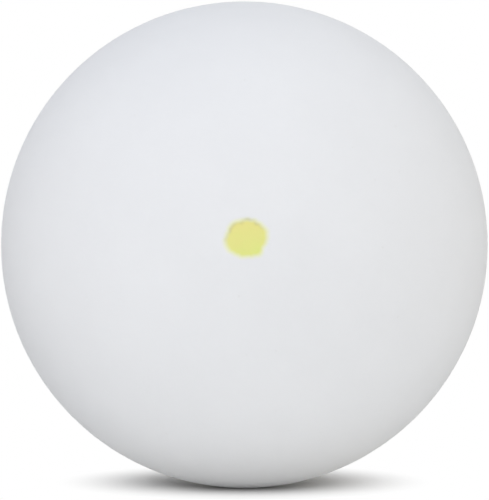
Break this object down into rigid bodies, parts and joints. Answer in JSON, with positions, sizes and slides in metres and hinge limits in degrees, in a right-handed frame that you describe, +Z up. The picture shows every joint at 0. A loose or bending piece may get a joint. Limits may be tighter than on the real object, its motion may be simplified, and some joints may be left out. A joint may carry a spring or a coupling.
{
  "type": "squash ball",
  "caption": "Hollow matte rubber ball of cemented half shells with a printed speed dot, struck with rackets against the walls of a court.",
  "frame": {"origin": "centre of the ball", "axes": "+Z up as the ball lies; Y is the moulding axis, with -Y towards the printed side; +X to the right as seen from that side"},
  "size_m": [0.04, 0.04, 0.04],
  "materials": {
    "white_rubber": "matte",
    "rubber_cement": "matte",
    "yellow_ink": "matte"
  },
  "bodies": {
    "root": {"front_half_shell": "white_rubber", "rear_half_shell": "white_rubber", "seam_cement": "rubber_cement", "yellow_dot": "yellow_ink"}
  },
  "joints": []
}
